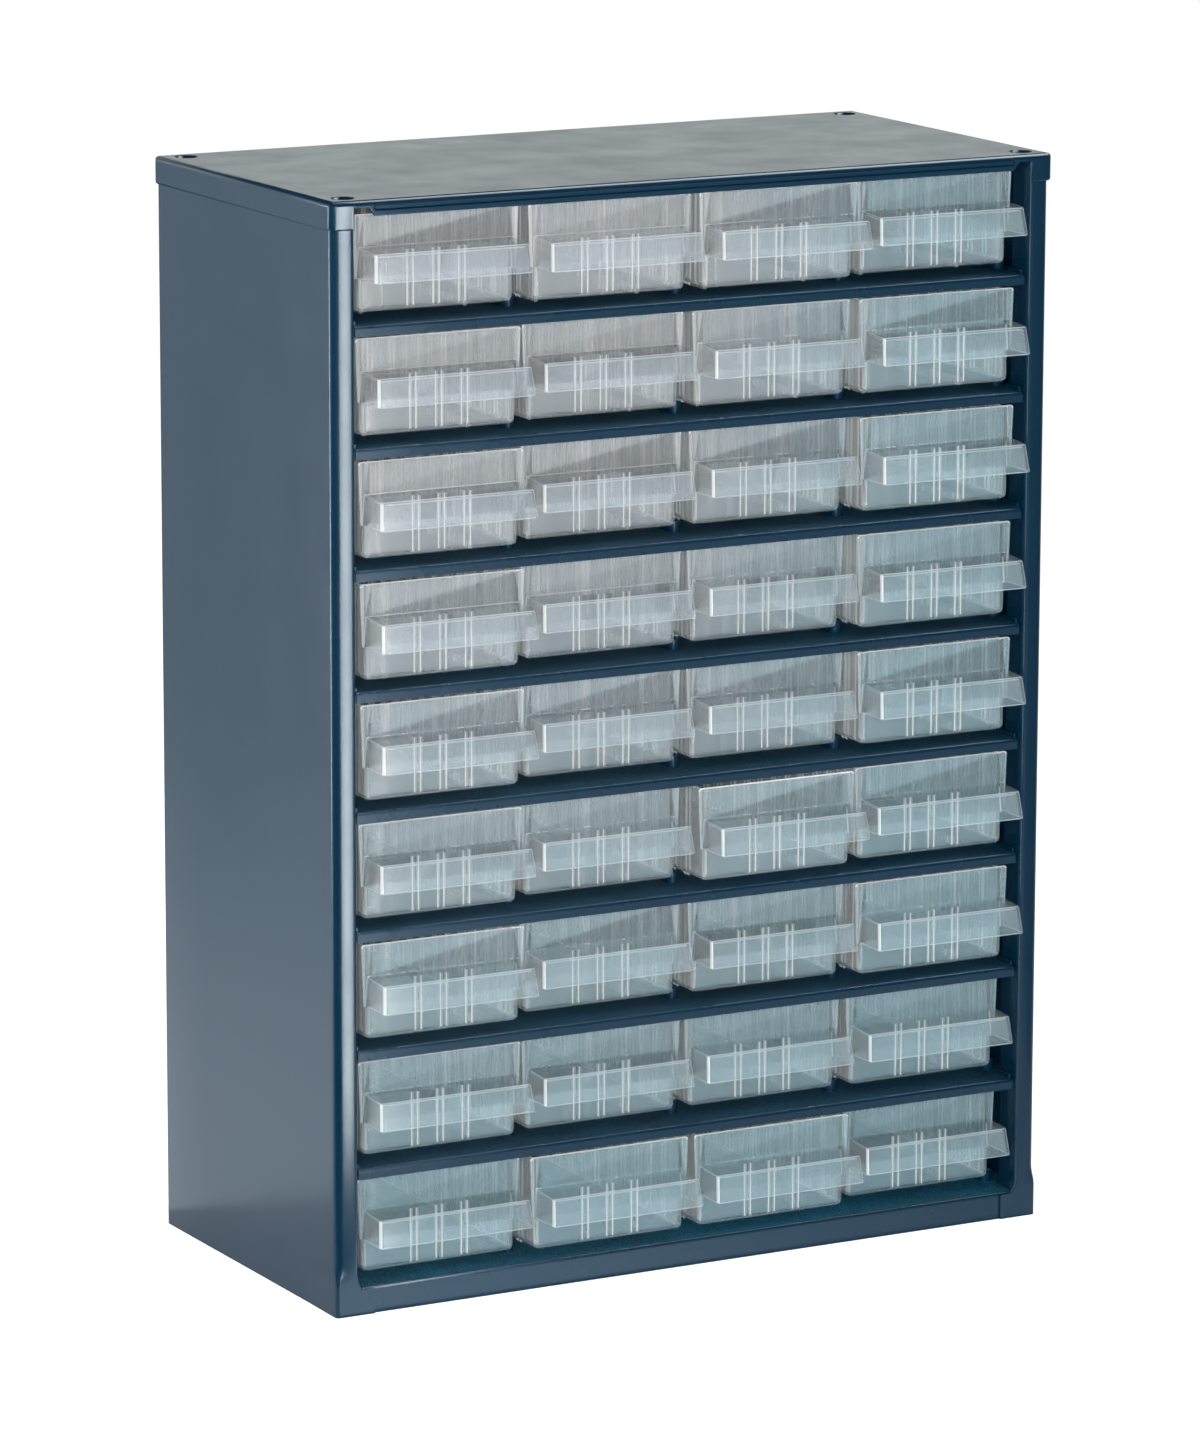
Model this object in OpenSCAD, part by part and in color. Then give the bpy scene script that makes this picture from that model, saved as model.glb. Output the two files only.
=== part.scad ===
// Parts bin cabinet: a painted sheet-steel case with a grid of clear plastic drawers.
// X is the width, the drawers pull out along -Y, and Z is up from the surface it stands on.
// The origin is on that surface, at the centre of the footprint with the handles counted in.

/* [Cabinet] */
// Width over the top cover
cabinet_w = 306; // [250:1:400]
// Depth over the top cover
cabinet_d = 150; // [125:1:240]
// Height over the top cover
cabinet_h = 417; // [330:1:520]
// Columns of drawers
columns = 4; // [2:1:4]
// Rows of drawers
rows = 9; // [4:1:9]
// Thickness of the side, back, base and shelf sheet
sheet = 0.8; // [0.6:0.1:1.2]
// Thickness of the top cover's sheet
cover_sheet = 1; // [0.8:0.1:1.4]

/* [Side panels] */
// Width of the folded front face of a side panel
post_w = 8.9; // [7:0.1:14]
// Depth that the folded front edge runs back inside
post_return = 12; // [6:0.5:18]
// Outer radius of the fold at the front corner
corner_fold_r = 2.6; // [1.6:0.1:3.5]
// Outer radius of the smaller folds
fold_r = 1.4; // [1.3:0.1:2]
// Width of the rear flange that the back panel lies on
rear_flange_w = 12; // [10:0.5:18]
// Width of the foot tab that laps over the base rail
foot_tab_w = 15.5; // [15:0.5:24]
// Height of the foot tab
foot_tab_h = 9.8; // [6:0.1:10]

/* [Base and shelves] */
// Height of the base rail, and of the floor under the lowest drawers
base_h = 10.6; // [9:0.1:16]
// Width of the turned-in rim that the base stands on
base_rim_w = 10; // [6:0.5:16]
// Height of a shelf's front lip
lip_h = 4.2; // [3.5:0.1:7]
// How far a shelf's lip stands behind the side panels' front faces
lip_back = 1.6; // [0.8:0.1:4]
// Gap between the end of a lip and the post beside it
lip_end_gap = 0.9; // [0.3:0.1:3]
// Height of the turned-up edges at the ends of a shelf's front strip
end_curl_h = 1.4; // [1:0.1:3]
// Height of the turned-up side and rear flanges of a shelf
shelf_flange_h = 8; // [5:0.5:14]
// Height of the pressed guides between the drawers
guide_h = 4.5; // [3:0.1:8]
// Gap between a guide and the drawer beside it
guide_gap = 0.9; // [0.4:0.1:2]
// How far the guides start behind the posts' front faces
guide_start = 17; // [12:1:40]
// Gap between a guide's end and the back panel
guide_end_gap = 8; // [4:1:40]

/* [Top cover] */
// Height of the cover's side and rear skirts
skirt_h = 10.6; // [8:0.1:16]
// Height of the strip across the cover's front
front_strip_h = 5.9; // [4:0.1:6.5]
// Outer radius of the fold along the cover's edges
cover_fold_r = 2.2; // [1.5:0.1:3]
// Distance from the post's inner edge to the foot of the front strip
notch_w = 7.6; // [5:0.1:12]
// Slant of the front strip's ends
notch_slant = 2.6; // [1:0.1:4]
// Depth of the cover's edge that is left above a notch
notch_top = 2.7; // [2.4:0.1:4]
// Height of the groove pressed along the front strip
groove_h = 1.8; // [1:0.1:2.4]
// Depth of that groove
groove_deep = 0.5; // [0.2:0.1:0.6]
// Diameter of the dimples pressed in the cover
dimple_d = 8.6; // [5:0.1:14]
// Depth of the dimples
dimple_deep = 1.7; // [1:0.1:2.4]
// Distance from the cover's edges to a dimple's centre
dimple_inset = 9.3; // [8:0.1:20]

/* [Drawers] */
// Gap between the wide fronts of two drawers side by side
front_gap = 2.6; // [1:0.1:5]
// Gap between the outermost drawer front and the post
end_gap = 3.2; // [1:0.1:6]
// How far the upper front stands out sideways past the drawer's body
ear_w = 2; // [0.5:0.1:3]
// Gap left behind the drawer that is pushed in furthest
drawer_back_gap = 1.1; // [0.5:0.1:10]
// Wall thickness of a drawer
wall = 1.2; // [0.8:0.1:1.6]
// Gap between a drawer's top edge and the lip above it
over_gap = 1.3; // [1:0.1:4]
// Height of the runners moulded under a drawer
runner_h = 3.2; // [1.5:0.1:4]
// Gap between the runners and the shelf
slide_gap = 0.2; // [0.1:0.05:0.5]
// Radius of a drawer's lower edges
drawer_r = 2.4; // [1.5:0.1:4]
// How far the handle's ledge lies below the drawer's top edge
ledge_drop = 12.1; // [8:0.1:14]
// How far the ledge reaches out from the drawer's front
handle_reach = 13.5; // [8:0.1:18]
// Height of the handle's lip
handle_lip_h = 11.4; // [8:0.1:14]
// How far the lip's lower edge leans forward
lip_lean = 1.9; // [0:0.1:4]
// Radius of the handle's upright corners
handle_r = 2.5; // [1.5:0.1:4]
// Distance between the pairs of ribs on a drawer's front
rib_pair_pitch = 10.6; // [8:0.1:14]
// Distance between the two ribs of a pair
rib_pitch = 2.5; // [2:0.1:4]

/* [Fixings] */
// Shank diameter of the rivets
rivet_d = 3.2; // [2.4:0.1:3.4]
// Diameter of the two screw holes in the back, for hanging on a wall
wall_hole_d = 5.5; // [4:0.5:7]
// Distance between those two holes
wall_hole_pitch = 200; // [150:1:220]
// Distance from the back panel's top edge down to them
wall_hole_drop = 26; // [16:1:32]

/* [Hidden] */
$fn = 32;
// How far each drawer's front stands back from the posts' front faces, from the top row down
STAND_BACK = [
    [8, 5, 3, 8],
    [6, 10, 8, 5],
    [4, 11, 10, 4],
    [3, 11, 11, 5],
    [3, 11, 11, 4],
    [5, 11, 1, 5],
    [3, 11, 9, 4],
    [6, 10, 11, 10],
    [7, 3, 3, 11]
];

function drawer_name(row, column) = str("drawer_row", row, "_", column);
function shelf_name(level) = str("shelf_", level);

// Steel case: its sizes across, up and along
body_w = cabinet_w - 2 * cover_sheet;
opening_w = body_w - 2 * post_w;
stand_backs = [for (row = [1 : rows]) for (column = [1 : columns]) STAND_BACK[row - 1][column - 1]];
handle_proud = handle_reach + lip_lean - min(stand_backs);
footprint_d = cabinet_d - cover_sheet + handle_proud;
front_y = handle_proud - footprint_d / 2;
back_y = front_y + cabinet_d - 2 * cover_sheet;
panel_top = cabinet_h - cover_sheet - cover_fold_r;
head_gap = 0.8;
row_pitch = (cabinet_h - base_h - head_gap) / rows;
back_panel_y = back_y - 2 * sheet;
back_panel_gap = fold_r - sheet + 0.1;
neck_r = 2;
tab_r = 0.8;
return_z = foot_tab_h + neck_r;
cut = 1;

// Shelves, counted from the lowest, whose top faces carry the drawers
lip_y = front_y + lip_back;
strip_w = opening_w - 2 * lip_end_gap;
return_gap = 1;
strip_end_y = front_y + post_return + return_gap;
shelf_w = body_w - 2 * sheet;
shelf_end_y = back_panel_y;
guide_w = front_gap + 2 * ear_w - 2 * guide_gap;
guide_end_y = shelf_end_y - guide_end_gap;
pan_y = front_y + sheet;
pan_d = back_y - sheet - pan_y;
pan_corner_r = corner_fold_r;

// Drawers, in their own frame: origin at the middle of the front's foot, with the body behind it
column_pitch = (opening_w - 2 * end_gap + front_gap) / columns;
front_w = column_pitch - front_gap;
drawer_w = front_w - 2 * ear_w;
drawer_d = shelf_end_y - sheet - front_y - max(stand_backs) - drawer_back_gap;
runner_foot = slide_gap + runner_h;
drawer_h = row_pitch - lip_h - over_gap - runner_foot;
ledge_z = drawer_h - ledge_drop;
handle_foot_z = ledge_z - handle_lip_h;
handle_w = drawer_w + 1;
handle_taper = 0.9;
ear_taper = 0.9;
nose_drop = 0.9;
rib_w = 0.9;
rib_proud = 0.7;
runner_w = 1.6;
runner_setback = 18;
runner_x = drawer_w / 3;
side_drop = 0.6;

// Top cover: its corner caps, the groove in its strip and its dimples
cap_inset = 0.4;
groove_end_inset = 1;
groove_rise = 0.1;
dimple_floor_d = 0.68 * dimple_d;

// Rivets
rivet_gap = 0.1;
rivet_head_d = 1.65 * rivet_d;
rivet_head_h = 0.32 * rivet_d;
rivet_x = body_w / 2 - (rear_flange_w + fold_r) / 2;
back_rivet_rows = 4;
rivet_height_in_bay = 0.55;
rivet_depth_in_skirt = 0.62;
cover_rivet_z = cabinet_h - rivet_depth_in_skirt * skirt_h;

steel_blue = [0.20, 0.29, 0.38];
clear_grey = [0.78, 0.82, 0.84, 0.6];
rivet_grey = [0.45, 0.48, 0.5];

// --- shapes used by more than one piece ---

// A quarter of a folded sheet's bend, with its centre at the origin and its corner towards +X +Y
module bend(outer_r, t) {
    intersection() {
        difference() {
            circle(outer_r);
            circle(outer_r - t);
        }
        square(outer_r + cut);
    }
}

// The front view of a trough with round lower edges, centred on X and standing on Z = 0
module round_foot(w, h, r) {
    translate([-w / 2, r]) square([w, h - r]);
    translate([-w / 2 + r, 0]) square([w - 2 * r, h]);
    for (side = [-1, 1])
        translate([side * (w / 2 - r), r]) circle(r);
}

// The plan of a sheet box with round upright corners, centred on the origin
module round_plan(w, d, r) {
    square([w - 2 * r, d], center = true);
    square([w, d - 2 * r], center = true);
    for (x = [-1, 1]) for (y = [-1, 1])
        translate([x * (w / 2 - r), y * (d / 2 - r)]) circle(r);
}

// Draws an outline of X and Z as a solid from the front y0 back to y1
module from_front(y0, y1) {
    translate([0, y1, 0]) rotate([90, 0, 0]) linear_extrude(y1 - y0) children();
}

// Draws an outline of Y and Z as a solid w wide, centred on X
module across(w) {
    translate([-w / 2, 0, 0]) rotate([90, 0, 90]) linear_extrude(w) children();
}

// --- steel case ---

// Plan of the right side panel's wall, with its front fold and its rear flange
module wall_plan() {
    outer_x = body_w / 2;
    translate([outer_x - sheet, front_y + corner_fold_r])
        square([sheet, back_y - front_y - corner_fold_r - fold_r]);
    translate([outer_x - corner_fold_r, front_y + corner_fold_r])
        mirror([0, 1]) bend(corner_fold_r, sheet);
    translate([outer_x - fold_r, back_y - fold_r]) bend(fold_r, sheet);
    translate([outer_x - rear_flange_w, back_y - sheet])
        square([rear_flange_w - fold_r, sheet]);
}

// Plan of the fold at the post's inner edge and of the return behind it
module return_plan() {
    inner_x = opening_w / 2;
    translate([inner_x + fold_r, front_y + fold_r])
        rotate(180) bend(fold_r, sheet);
    translate([inner_x, front_y + fold_r])
        square([sheet, post_return - fold_r]);
}

// Front view of the flat front face: the post, the foot tab and the round corner between them
module face_view() {
    inner_x = opening_w / 2;
    face_x = body_w / 2 - corner_fold_r;
    tab_x = body_w / 2 - foot_tab_w;
    translate([inner_x + fold_r, 0]) square([face_x - inner_x - fold_r, panel_top]);
    translate([inner_x, 0]) square([face_x - inner_x, return_z]);
    translate([tab_x, 0]) square([face_x - tab_x, foot_tab_h - tab_r]);
    translate([tab_x + tab_r, 0]) square([face_x - tab_x - tab_r, foot_tab_h]);
    translate([tab_x + tab_r, foot_tab_h - tab_r]) circle(tab_r);
    difference() {
        translate([inner_x - neck_r, foot_tab_h]) square(neck_r);
        translate([inner_x - neck_r, foot_tab_h + neck_r]) circle(neck_r);
    }
}

module side_panel() {
    color(steel_blue) difference() {
        union() {
            linear_extrude(panel_top) wall_plan();
            from_front(front_y, front_y + sheet) face_view();
            translate([0, 0, return_z]) linear_extrude(panel_top - return_z) return_plan();
        }
        rivet_holes(sheet);
    }
}

module right_side_panel() {
    side_panel();
}

module left_side_panel() {
    mirror([1, 0, 0]) side_panel();
}

// Places a rivet hole or a rivet at each point of the rear flanges, between two shelves
module at_back_rivets() {
    for (side = [-1, 1]) for (step = [0 : back_rivet_rows - 1]) {
        bay = round((rows - 1) * step / (back_rivet_rows - 1));
        translate([side * rivet_x, back_y, base_h + (bay + rivet_height_in_bay) * row_pitch])
            children();
    }
}

// Places a rivet hole or a rivet at each point of the cover's rear skirt
module at_cover_rivets() {
    for (side = [-1, 1])
        translate([side * rivet_x, back_y + cover_sheet, cover_rivet_z]) children();
}

module rivet_holes(reach) {
    hole_d = rivet_d + 2 * rivet_gap;
    at_back_rivets()
        translate([0, cut, 0]) rotate([90, 0, 0]) cylinder(h = reach + 2 * cut, d = hole_d);
    at_cover_rivets()
        translate([0, cut, 0]) rotate([90, 0, 0])
            cylinder(h = cover_sheet + 2 * sheet + 2 * cut, d = hole_d);
}

module back_panel() {
    panel_w = shelf_w - 2 * back_panel_gap;
    wall_hole_z = panel_top - wall_hole_drop;
    color(steel_blue) difference() {
        translate([-panel_w / 2, back_panel_y, base_h + back_panel_gap])
            cube([panel_w, sheet, panel_top - base_h - back_panel_gap]);
        rivet_holes(2 * sheet);
        for (side = [-1, 1])
            translate([side * wall_hole_pitch / 2, back_y + cut, wall_hole_z])
                rotate([90, 0, 0]) cylinder(h = 2 * sheet + 2 * cut, d = wall_hole_d);
    }
}

// One pressed guide: a narrow hollow bead with a round front end
module guide_plan(w) {
    translate([-w / 2, guide_start + front_y + w / 2])
        square([w, guide_end_y - guide_start - front_y - w / 2]);
    translate([0, guide_start + front_y + w / 2]) circle(w / 2);
}

module guides(z) {
    for (k = [0 : columns])
        translate([(k - columns / 2) * column_pitch, 0, z]) difference() {
            linear_extrude(guide_h) guide_plan(guide_w);
            translate([0, 0, -cut])
                linear_extrude(guide_h - sheet + cut) guide_plan(guide_w - 2 * sheet);
        }
}

module guide_slots(z) {
    for (k = [0 : columns])
        translate([(k - columns / 2) * column_pitch, 0, z - sheet - cut])
            linear_extrude(sheet + 2 * cut) guide_plan(guide_w - 2 * sheet);
}

// A shelf with its top face at height z: floor, folded lip, turned-up edges and guides
module shelf(z) {
    lip_outer_r = 2 * sheet;
    color(steel_blue) {
        difference() {
            union() {
                translate([-strip_w / 2, lip_y + lip_outer_r, z - sheet])
                    cube([strip_w, strip_end_y - lip_y - lip_outer_r + cut, sheet]);
                translate([-shelf_w / 2, strip_end_y, z - sheet])
                    cube([shelf_w, shelf_end_y - strip_end_y, sheet]);
            }
            guide_slots(z);
        }
        guides(z - sheet / 2);
        translate([0, lip_y + lip_outer_r, z - lip_outer_r])
            across(strip_w) mirror([1, 0]) bend(lip_outer_r, sheet);
        translate([-strip_w / 2, lip_y, z - lip_h])
            cube([strip_w, sheet, lip_h - lip_outer_r]);
        for (side = [0, 1]) mirror([side, 0, 0]) {
            translate([strip_w / 2 - sheet, lip_y + lip_outer_r, z - sheet])
                cube([sheet, strip_end_y - lip_y - lip_outer_r, sheet + end_curl_h]);
            translate([shelf_w / 2 - sheet, strip_end_y, z - sheet])
                cube([sheet, shelf_end_y - strip_end_y, sheet + shelf_flange_h]);
        }
        translate([-shelf_w / 2, shelf_end_y - sheet, z - sheet])
            cube([shelf_w, sheet, sheet + shelf_flange_h]);
    }
}

// A block for the base pan with a round front top edge and round upright corners
module pan_block(inset, z, top) {
    w = shelf_w - 2 * inset;
    d = pan_d - 2 * inset;
    edge_r = 2 * sheet - inset;
    translate([0, pan_y + pan_d / 2, 0]) intersection() {
        translate([0, 0, z]) linear_extrude(top - z) round_plan(w, d, pan_corner_r - inset);
        across(w + cut) {
            translate([-d / 2, z]) square([d, top - edge_r - z]);
            translate([-d / 2 + edge_r, z]) square([d - edge_r, top - z]);
            translate([-d / 2 + edge_r, top - edge_r]) circle(edge_r);
        }
    }
}

// The base pan: floor of the lowest row on a folded frame with a turned-in rim to stand on
module base_pan() {
    color(steel_blue) {
        difference() {
            pan_block(0, 0, base_h);
            pan_block(sheet, sheet, base_h - sheet);
            translate([-shelf_w / 2 + base_rim_w, pan_y + base_rim_w, -cut])
                cube([shelf_w - 2 * base_rim_w, pan_d - 2 * base_rim_w, sheet + 2 * cut]);
            guide_slots(base_h);
        }
        guides(base_h - sheet / 2);
    }
}

// Front view of what the cover's front keeps: corner caps, the edge above the notches, the strip
module cover_front_view() {
    foot_x = opening_w / 2 - notch_w;
    cap_x = opening_w / 2 + cap_inset;
    strip_z = cabinet_h - front_strip_h;
    notch_z = cabinet_h - notch_top;
    translate([-cabinet_w / 2 - cut, notch_z]) square([cabinet_w + 2 * cut, notch_top + cut]);
    polygon([[-foot_x, strip_z], [foot_x, strip_z], [foot_x + notch_slant, notch_z + cut / 2],
             [-foot_x - notch_slant, notch_z + cut / 2]]);
    for (side = [0, 1]) mirror([side, 0])
        translate([cap_x, cabinet_h - skirt_h])
            square([cabinet_w / 2 - cap_x + cut, skirt_h]);
}

// A block whose top edges and upright corners are round, standing from z to the cover's top
module cover_block(inset, r, z) {
    w = cabinet_w - 2 * inset;
    d = cabinet_d - 2 * inset;
    h = cabinet_h - inset - z;
    y_mid = front_y - cover_sheet + cabinet_d / 2;
    translate([0, y_mid, z]) intersection() {
        from_front(-d, d) translate([0, h]) mirror([0, 1]) round_foot(w, 2 * h, r);
        across(2 * w) translate([0, h]) mirror([0, 1]) round_foot(d, 2 * h, r);
        linear_extrude(h) round_plan(w, d, r);
    }
}

module at_dimples() {
    y_mid = front_y - cover_sheet + cabinet_d / 2;
    for (x = [-1, 1]) for (y = [-1, 1])
        translate([x * (cabinet_w / 2 - dimple_inset),
                   y_mid + y * (cabinet_d / 2 - dimple_inset), cabinet_h])
            children();
}

// Side view of a dimple from its centre out, as a cone with a flat floor, t thick
module dimple_side(deep, t) {
    floor_r = dimple_floor_d / 2;
    polygon([[0, -deep - t], [floor_r, -deep - t], [dimple_d / 2, -t], [dimple_d / 2, 0],
             [floor_r, -deep], [0, -deep]]);
}

module top_cover() {
    front_skin_y = front_y - cover_sheet;
    groove_w = opening_w - 2 * notch_w - 2 * groove_end_inset;
    groove_z = cabinet_h - front_strip_h / 2 + groove_rise;
    color(steel_blue) {
        difference() {
            cover_block(0, cover_fold_r, cabinet_h - skirt_h);
            cover_block(cover_sheet, cover_fold_r - cover_sheet, cabinet_h - skirt_h - cut);
            // What is not in the front view is cut from the front skin
            difference() {
                translate([-cabinet_w / 2 + cover_fold_r, front_skin_y - cut, cabinet_h - skirt_h - cut])
                    cube([cabinet_w - 2 * cover_fold_r, cover_sheet + 2 * cut, skirt_h - notch_top + cut]);
                from_front(front_skin_y - 2 * cut, front_y + 2 * cut) cover_front_view();
            }
            from_front(front_skin_y - cut, front_skin_y + groove_deep) {
                translate([-groove_w / 2, groove_z - groove_h / 2]) square([groove_w, groove_h]);
                for (side = [-1, 1])
                    translate([side * groove_w / 2, groove_z]) circle(d = groove_h);
            }
            at_dimples() translate([0, 0, -cover_sheet - cut])
                cylinder(h = cover_sheet + 2 * cut, d = dimple_d);
            rivet_holes(0);
        }
        at_dimples() rotate_extrude() dimple_side(dimple_deep, cover_sheet);
    }
}

// --- rivets: a domed head outside, a shank through both sheets and a formed head inside ---

module rivet(grip) {
    dome_r = (rivet_head_d * rivet_head_d / 4 + rivet_head_h * rivet_head_h) / (2 * rivet_head_h);
    inner_d = 1.4 * rivet_d;
    rotate([90, 0, 0]) {
        translate([0, 0, -rivet_head_h]) intersection() {
            translate([0, 0, dome_r]) sphere(dome_r);
            cylinder(h = rivet_head_h, d = rivet_head_d);
        }
        cylinder(h = grip, d = rivet_d);
        translate([0, 0, grip]) cylinder(h = rivet_head_h, d = inner_d);
    }
}

module back_rivets() {
    color(rivet_grey) at_back_rivets() rivet(2 * sheet);
}

module cover_rivets() {
    color(rivet_grey) at_cover_rivets() rivet(cover_sheet + 2 * sheet);
}

// --- drawers ---

// Side view of the handle's outside, from the drawer's front at Y = 0 forward
module handle_side(t) {
    reach = handle_reach - t;
    top_z = ledge_z - t;
    foot_z = handle_foot_z - (t > 0 ? cut : 0);
    polygon([[cut / 2, top_z], [-reach, top_z - nose_drop], [-reach - lip_lean, foot_z],
             [cut / 2, foot_z]]);
}

// Plan of the handle with round front corners
module handle_plan(w, t) {
    r = handle_r - t;
    reach = handle_reach + lip_lean - t;
    translate([-w / 2, -reach + r]) square([w, reach - r + cut]);
    translate([-w / 2 + r, -reach]) square([w - 2 * r, reach + cut]);
    for (side = [-1, 1])
        translate([side * (w / 2 - r), -reach + r]) circle(r);
}

// Front view of the handle, wider at its foot
module handle_front(w) {
    foot_z = handle_foot_z - 2 * cut;
    polygon([[-w / 2, foot_z], [w / 2, foot_z],
             [w / 2 - handle_taper, ledge_z + cut], [-w / 2 + handle_taper, ledge_z + cut]]);
}

module handle_block(t) {
    w = handle_w - 2 * t;
    intersection() {
        across(handle_w) handle_side(t);
        translate([0, 0, handle_foot_z - 2 * cut])
            linear_extrude(handle_lip_h + 3 * cut) handle_plan(w, t);
        from_front(-2 * handle_reach, 2 * cut) handle_front(w);
    }
}

// Front view of the wide part of the front, from the handle's foot to the drawer's top edge
module front_view() {
    r = drawer_r / 2;
    w = front_w / 2;
    foot_w = w - ear_taper;
    polygon([[-foot_w, handle_foot_z], [foot_w, handle_foot_z], [w, drawer_h - r],
             [w - r, drawer_h - r], [w - r, drawer_h], [-w + r, drawer_h],
             [-w + r, drawer_h - r], [-w, drawer_h - r]]);
    for (side = [-1, 1])
        translate([side * (w - r), drawer_h - r]) circle(r);
}

module drawer() {
    side_h = drawer_h - side_drop;
    // Body: floor and side walls as a trough, closed at the front and at the back
    difference() {
        from_front(0, drawer_d) round_foot(drawer_w, side_h, drawer_r);
        from_front(wall, drawer_d - wall)
            translate([0, wall]) round_foot(drawer_w - 2 * wall, drawer_h, drawer_r - wall);
    }
    from_front(0, wall) front_view();
    difference() {
        handle_block(0);
        handle_block(wall);
    }
    for (pair = [-1 : 1]) for (side = [-1, 1])
        translate([pair * rib_pair_pitch + side * rib_pitch / 2 - rib_w / 2, -rib_proud, drawer_r / 2])
            cube([rib_w, rib_proud + wall / 2, ledge_z - drawer_r / 2 - wall / 2]);
    for (side = [-1, 1])
        translate([side * runner_x - runner_w / 2, runner_setback, -runner_h])
            cube([runner_w, drawer_d - runner_setback - drawer_r, runner_h + wall / 2]);
}

// Stands a drawer in its place, with row 1 at the top and column 1 at the left
module drawer_at(row, column) {
    color(clear_grey)
        translate([(column - (columns + 1) / 2) * column_pitch,
                   front_y + STAND_BACK[row - 1][column - 1],
                   base_h + (rows - row) * row_pitch + runner_foot])
            drawer();
}

top_cover();
left_side_panel();
right_side_panel();
back_panel();
base_pan();
back_rivets();
cover_rivets();
for (level = [1 : rows - 1])
    shelf(base_h + level * row_pitch);
for (row = [1 : rows]) for (column = [1 : columns])
    drawer_at(row, column);
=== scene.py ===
"""Parts bin cabinet: a painted steel case with 36 clear drawers, in metres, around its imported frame."""

import bmesh
import bpy
import math
from mathutils import Matrix, Vector


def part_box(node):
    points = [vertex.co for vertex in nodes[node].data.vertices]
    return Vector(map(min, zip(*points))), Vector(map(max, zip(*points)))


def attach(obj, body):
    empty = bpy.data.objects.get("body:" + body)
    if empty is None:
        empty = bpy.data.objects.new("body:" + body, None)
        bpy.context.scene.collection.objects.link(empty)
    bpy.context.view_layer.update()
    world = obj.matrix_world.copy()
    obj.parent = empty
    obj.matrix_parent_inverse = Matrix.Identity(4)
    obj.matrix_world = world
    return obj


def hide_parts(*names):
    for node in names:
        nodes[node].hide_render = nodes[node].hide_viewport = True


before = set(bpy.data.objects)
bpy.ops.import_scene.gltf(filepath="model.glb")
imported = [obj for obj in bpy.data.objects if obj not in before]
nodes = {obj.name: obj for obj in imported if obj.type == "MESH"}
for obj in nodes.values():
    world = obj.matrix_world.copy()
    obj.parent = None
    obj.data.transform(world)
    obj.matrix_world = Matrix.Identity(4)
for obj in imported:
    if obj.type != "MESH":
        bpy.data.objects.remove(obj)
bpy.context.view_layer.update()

# ---------------------------------------------------------------- camera
# It stands to the left of the cabinet's front and a little above it, far off, so that the
# uprights stay nearly parallel.

PICTURE_H = 1432
SENSOR_H = 36.0
camera_place = Vector((-1.3008, -2.3741, 0.7666))
camera_azimuth = math.radians(-28.6241)
camera_elevation = math.radians(11.7958)
camera_roll = math.radians(0.1619)
focal_px = 7216

back = Vector((
    math.sin(camera_azimuth) * math.cos(camera_elevation),
    -math.cos(camera_azimuth) * math.cos(camera_elevation),
    math.sin(camera_elevation),
))
right = Vector((0, 0, 1)).cross(back).normalized()
up = back.cross(right)
turned_right = right * math.cos(camera_roll) + up * math.sin(camera_roll)
turned_up = up * math.cos(camera_roll) - right * math.sin(camera_roll)
lens = bpy.data.cameras.new("camera")
lens.sensor_width = SENSOR_H
lens.lens = focal_px * SENSOR_H / PICTURE_H
lens.clip_start = 0.1
lens.clip_end = 60
camera = bpy.data.objects.new("camera", lens)
axes = Matrix((turned_right, turned_up, back)).transposed()
camera.matrix_world = Matrix.Translation(camera_place) @ axes.to_4x4()
bpy.context.scene.collection.objects.link(camera)
bpy.context.scene.camera = camera
bpy.context.scene.view_settings.view_transform = "Standard"

# ---------------------------------------------------------------- studio
# A white floor and a white surrounding behind the cabinet and a darker room in front of it. Three
# large lamps light what is matt; three others, and the cards on the floor, only show in the gloss.

FLOOR_SIZE = 14.0
BACKDROP_LEVEL = 0.74
BACKDROP_MIRRORED = (1.16, 1.25, 1.22, 1)
ROOM_LEVEL = 0.10
ROOM_END = 0.1
BACKDROP_START = 0.6
OVERHEAD_MIRRORED = 0.05
WALL_TOP = 0.25
OVERHEAD_START = 0.32
FLOOR_WHITE = (0.86, 0.86, 0.86, 1)
FLOOR_GLOW_SEEN = 0.75
FLOOR_GLOW_MIRRORED = 0.12
CARD_Z = 0.0004
CARD_GLOW = (0.90, 0.97, 1.0, 1)
BLACK = (0.0, 0.0, 0.0)


def link(obj):
    """Puts a new object into the scene."""
    bpy.context.scene.collection.objects.link(obj)
    return obj


def join(tree, source, target):
    """Joins two sockets of a node tree."""
    tree.links.new(source, target)
    return target


def node(tree, kind, **settings):
    """Adds a node; settings are its properties, or the values of the inputs with those names."""
    made = tree.nodes.new(kind)
    for key, value in settings.items():
        if hasattr(made, key):
            setattr(made, key, value)
        else:
            made.inputs[key.replace("_", " ")].default_value = value
    return made


def blend_value(tree, factor, first, second):
    """Mixes two numbers (sockets or values) by a socket."""
    made = node(tree, "ShaderNodeMix", data_type="FLOAT")
    join(tree, factor, made.inputs[0])
    for socket, value in ((made.inputs[2], first), (made.inputs[3], second)):
        if isinstance(value, float):
            socket.default_value = value
        else:
            join(tree, value, socket)
    return made.outputs[0]


def math_node(tree, operation, first, second):
    """Does one operation on two numbers (sockets or values)."""
    made = node(tree, "ShaderNodeMath", operation=operation)
    for socket, value in ((made.inputs[0], first), (made.inputs[1], second)):
        if isinstance(value, float):
            socket.default_value = value
        else:
            join(tree, value, socket)
    return made.outputs[0]


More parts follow.
